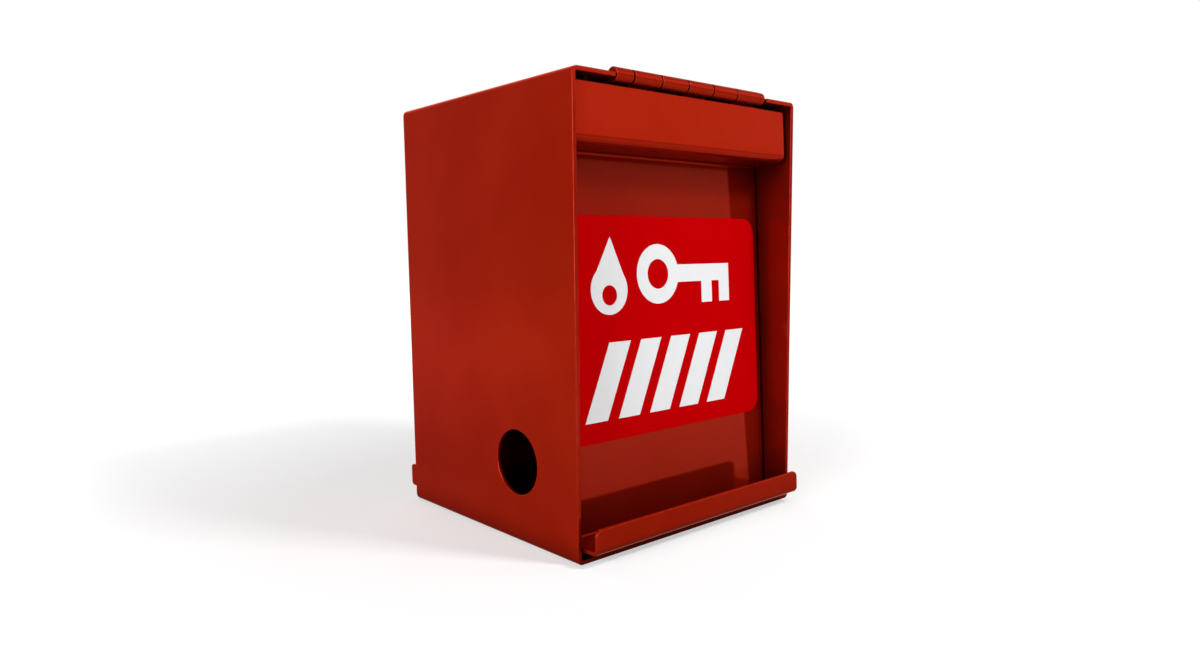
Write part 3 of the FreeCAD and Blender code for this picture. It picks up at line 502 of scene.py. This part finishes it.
def revolved(outline, axis, at, steps=40):
    """A closed solid turned about an axis through a spot, from (radius, distance) pairs in mm."""
    form = bmesh.new()
    rings = []
    for radius, along in outline:
        ring = []
        for i in range(steps if radius > 0 else 1):
            turn = 2 * math.pi * i / steps
            across, up = radius * math.cos(turn), radius * math.sin(turn)
            spot = Vector((along, across, up)) if axis == "X" else Vector((across, along, -up))
            ring.append(form.verts.new((spot + Vector(at)) * MM))
        rings.append(ring)
    join_rings(form, rings)
    bmesh.ops.recalc_face_normals(form, faces=form.faces)
    mesh = mesh_of(form, "revolved")
    shaded(mesh, CRISP_ANGLE)
    return mesh


def merged(name, meshes):
    """One mesh out of several."""
    form = bmesh.new()
    for mesh in meshes:
        form.from_mesh(mesh)
    whole = mesh_of(form, name)
    shaded(whole, CRISP_ANGLE)
    return whole


def dome(radius, low, high, steps=7):
    """Pairs of radius and distance up a flat dome, from its rim to its top."""
    pairs = []
    for i in range(steps + 1):
        turn = math.pi / 2 * i / steps
        width = radius * math.cos(turn) if i < steps else 0.0
        pairs.append((width, low + (high - low) * math.sin(turn)))
    return pairs


def limits(node):
    """Lowest and highest corner of a node, in millimetres."""
    low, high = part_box(node)
    return low / MM, high / MM


def ends(low, high, margin):
    """The places a margin in from the two ends of a span, or the one place where they meet."""
    first, last = low + margin, high - margin
    return [first, last] if last - first > margin else [(first + last) / 2]


def make_rivets(node):
    """Rivets with low domed heads in front of a face."""
    low, high = limits(node)
    face, tail = low.y + RIVET_HIGH, high.y
    outline = [
        (0, tail), (RIVET_RADIUS - TIP_BEVEL, tail), (RIVET_RADIUS, tail - TIP_BEVEL),
        (RIVET_RADIUS, face), (RIVET_HEAD - TIP_BEVEL, face),
    ]
    outline += dome(RIVET_HEAD, face - RIVET_RIM, low.y)
    across = ends(low.x, high.x, RIVET_HEAD)
    spots = [(x, 0, z) for x in across for z in ends(low.z, high.z, RIVET_HEAD)]
    replace_node(node, merged(node, [revolved(outline, "Y", spot) for spot in spots]))


def tube(name, path, radius, steps=12):
    """A round wire along points given in mm."""
    points = [Vector(spot) for spot in path]
    form = bmesh.new()
    rings = []
    side = None
    for i, spot in enumerate(points):
        ahead = (points[min(i + 1, len(points) - 1)] - points[max(i - 1, 0)]).normalized()
        if side is None:
            side = ahead.orthogonal().normalized()
        side = (side - ahead * side.dot(ahead)).normalized()
        other = ahead.cross(side)
        rings.append([
            form.verts.new((spot + radius * (math.cos(turn) * side + math.sin(turn) * other)) * MM)
            for turn in (2 * math.pi * k / steps for k in range(steps))
        ])
    join_rings(form, rings)
    form.faces.new(list(reversed(rings[0])))
    form.faces.new(rings[-1])
    bmesh.ops.recalc_face_normals(form, faces=form.faces)
    mesh = mesh_of(form, name)
    shaded(mesh, WIRE_ANGLE)
    return mesh


def spring_leg(coil_radius):
    """Points of the moving leg seen from its side: a straight run, a bend and a straight end."""
    leg = [(-run, -coil_radius) for run in LEG_RUNS]
    for i in range(1, LEG_BEND_STEPS + 1):
        turn = math.pi / 2 * i / LEG_BEND_STEPS
        leg.append((
            -LEG_RUN - LEG_BEND * math.sin(turn),
            -coil_radius - LEG_BEND * (1 - math.cos(turn)),
        ))
    leg += [(-LEG_RUN - LEG_BEND, -coil_radius - LEG_BEND - tail) for tail in LEG_TAILS]
    return leg


def make_spring():
    """The lever's torsion spring: the coil with its fixed leg, and the leg that follows the lever."""
    joint = [row for row in frame["joints"] if row["name"] == "lever_pivot"][0]
    pivot = Vector((0, joint["pos_m"][1], joint["pos_m"][2])) / MM
    low, high = limits("lever_spring")
    coil_radius = (high.y - low.y) / 2 - WIRE_RADIUS
    start, sweep = math.radians(COIL_START), -math.radians(COIL_SWEEP)
    first_x, last_x = low.x + WIRE_RADIUS, high.x - WIRE_RADIUS
    path = []
    for i in range(FIXED_LEG_STEPS, 0, -1):
        reach = i * FIXED_LEG_STEP
        path.append(pivot + Vector((
            first_x,
            coil_radius * math.cos(start) - reach * math.sin(start),
            coil_radius * math.sin(start) + reach * math.cos(start),
        )))
    for i in range(COIL_STEPS + 1):
        turn = start + sweep * i / COIL_STEPS
        x = first_x + (last_x - first_x) * i / COIL_STEPS
        path.append(pivot + Vector((x, coil_radius * math.cos(turn), coil_radius * math.sin(turn))))
    wire = tube("lever_spring_coil", path, WIRE_RADIUS)
    coil = add_piece("lever_spring_coil", wire, "housing", "spring_steel")
    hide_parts("lever_spring")
    out = math.radians(joint["range_deg"][1])
    turned = []
    for y, z in spring_leg(coil_radius):
        swung_y = y * math.cos(out) + z * math.sin(out)
        swung_z = z * math.cos(out) - y * math.sin(out)
        turned.append(pivot + Vector((last_x, swung_y, swung_z)))
    wire = tube("lever_spring_leg", turned, WIRE_RADIUS)
    add_piece("lever_spring_leg", wire, "lock_lever", "spring_steel")


def slot_cutter(x, y, z, wide, tall):
    """A block that tapers inward, to cut one arm of a screw's cross."""
    form = bmesh.new()
    bmesh.ops.create_cube(form, size=1.0)
    for vert in form.verts:
        taper = 1.0 if vert.co.x > 0 else SLOT_TAPER
        vert.co = Vector((
            x - SLOT_MIDDLE + vert.co.x * SLOT_CUTTER,
            y + vert.co.y * wide * taper,
            z + vert.co.z * tall * taper,
        )) * MM
    return new_object("slot", mesh_of(form, "slot"))


def make_screws():
    """Pan-head screws with crossed slots."""
    name = "switch_screws"
    low, high = limits(name)
    tip, top = low.x, high.x
    seat, rim = top - SCREW_HIGH, top - SCREW_HIGH / 2
    outline = [
        (0, tip), (SCREW_RADIUS - TIP_BEVEL, tip), (SCREW_RADIUS, tip + TIP_BEVEL),
        (SCREW_RADIUS, seat), (SCREW_HEAD, seat), (SCREW_HEAD, rim),
    ]
    for turn in HEAD_TURNS:
        outline.append((SCREW_HEAD * math.cos(turn), rim + (top - rim) * math.sin(turn)))
    outline.append((0, top))
    meshes = []
    y = (low.y + high.y) / 2
    for z in ends(low.z, high.z, SCREW_HEAD):
        screw = new_object("screw", revolved(outline, "X", (0, y, z)))
        for wide, tall in ((SLOT_WIDE, SLOT_LONG), (SLOT_LONG, SLOT_WIDE)):
            cut = screw.modifiers.new("slot", "BOOLEAN")
            cut.operation = "DIFFERENCE"
            cut.solver = "EXACT"
            cut.object = slot_cutter(top, y, z, wide, tall)
        meshes.append(evaluated(screw))
        for cut in screw.modifiers:
            bpy.data.objects.remove(cut.object)
        bpy.data.objects.remove(screw)
    replace_node(name, merged(name, meshes))


def close_spline(curve, points):
    """A closed line of straight steps in a flat curve, through points in mm."""
    spline = curve.splines.new("POLY")
    spline.points.add(len(points) - 1)
    for point, (x, y) in zip(spline.points, points):
        point.co = (x * MM, y * MM, 0, 1)
    spline.use_cyclic_u = True


def make_terminals():
    """Blade terminals with clipped corners and a hole for the wire."""
    name = "switch_terminals"
    low, high = limits(name)
    middle = (low.x + high.x) / 2
    shoulder = high.y - BLADE_CLIP_ALONG
    corners = [
        (low.x, low.y), (high.x, low.y), (high.x, shoulder),
        (high.x - BLADE_CLIP_ACROSS, high.y), (low.x + BLADE_CLIP_ACROSS, high.y), (low.x, shoulder),
    ]
    eye = []
    for i in range(EYE_STEPS):
        turn = -2 * math.pi * i / EYE_STEPS
        eye.append((middle + EYE_RADIUS * math.cos(turn), high.y - EYE_BACK + EYE_RADIUS * math.sin(turn)))
    meshes = []
    for z in (low.z + BLADE_THICK / 2, (low.z + high.z) / 2, high.z - BLADE_THICK / 2):
        outline = bpy.data.curves.new("blade", "CURVE")
        outline.dimensions = "2D"
        outline.fill_mode = "BOTH"
        outline.extrude = BLADE_THICK / 2 * MM
        close_spline(outline, corners)
        close_spline(outline, eye)
        blade = new_object("blade", outline)
        blade.location.z = z * MM
        mesh = evaluated(blade)
        mesh.transform(blade.matrix_world)
        meshes.append(mesh)
        bpy.data.objects.remove(blade)
    replace_node(name, merged(name, meshes))


def dress_nodes():
    """Puts each slot's material on the nodes that use it."""
    for name, piece in frame["nodes"].items():
        piece.data.materials.clear()
        piece.data.materials.append(MATERIALS[SLOTS[name]])


def direct_rays(nodes):
    """One for what the eye, mirrors and glass see, and zero for light that scatters."""
    path = nodes.add("ShaderNodeLightPath")
    seen = nodes.combine("MAXIMUM", path.outputs["Is Camera Ray"], path.outputs["Is Glossy Ray"])
    return nodes.combine("MAXIMUM", seen, path.outputs["Is Transmission Ray"])


def pale_floor():
    """White to the eye and in reflections, pale grey to scattered light, with the shadow kept."""
    nodes = material_nodes("floor_white")
    nodes.put("Base Color", nodes.mix(nodes.noise(3.0), rgb(196, 196, 196), rgb(199, 199, 199)))
    nodes.put("Roughness", 0.9)
    nodes.put("Specular IOR Level", 0.0)
    away = nodes.add("ShaderNodeVectorMath", {0: nodes.where()}, operation="LENGTH")
    glow = nodes.ramp(away.outputs["Value"], FLOOR_NEAR, FLOOR_FAR, GLOW_NEAR, GLOW_FAR)
    nodes.put("Emission Color", WHITE)
    nodes.put("Emission Strength", nodes.combine("MULTIPLY", direct_rays(nodes), glow))
    return nodes.owner


def make_stage():
    """A wide pale floor under a white surround."""
    corners = [(x * FLOOR_HALF, y * FLOOR_HALF, 0) for x, y in ((-1, -1), (1, -1), (1, 1), (-1, 1))]
    mesh = bpy.data.meshes.new("floor")
    mesh.from_pydata(corners, [], [(0, 1, 2, 3)])
    mesh.materials.append(pale_floor())
    floor = new_object("floor", mesh)
    world = bpy.data.worlds.new("studio")
    bpy.context.scene.world = world
    nodes = Nodes(world, "Background")
    nodes.put("Strength", nodes.ramp(direct_rays(nodes), AMBIENT, 1.0))
    nodes.put("Color", WHITE)


def make_light(name, at, aim, wide, tall, power, roll):
    """A soft flat lamp pointed at a spot, turned about its own axis by a roll in degrees."""
    data = bpy.data.lights.new(name, "AREA")
    data.shape = "RECTANGLE"
    data.size = wide
    data.size_y = tall
    data.energy = power
    lamp = new_object(name, data)
    lamp.location = at
    facing = (Vector(aim) - Vector(at)).to_track_quat("-Z", "Y")
    lamp.rotation_euler = (facing @ Quaternion((0, 0, 1), math.radians(roll))).to_euler()


make_camera()
SLOTS = {row["node"]: row["material_slot"] for row in frame["record"]["subparts"]}
MATERIALS = make_materials()
dress_nodes()
soften("housing_shell", "housing", SHELL_EDGE, leave=in_lug)
for node, body, width, segments in SOFTENED:
    soften(node, body, width, segments)
make_rivets("bracket_rivets")
make_rivets("switch_bracket_rivets")
make_spring()
make_screws()
make_terminals()
make_stage()
for lamp in LAMPS:
    make_light(*lamp)
scene = bpy.context.scene
scene.view_settings.view_transform = "Standard"
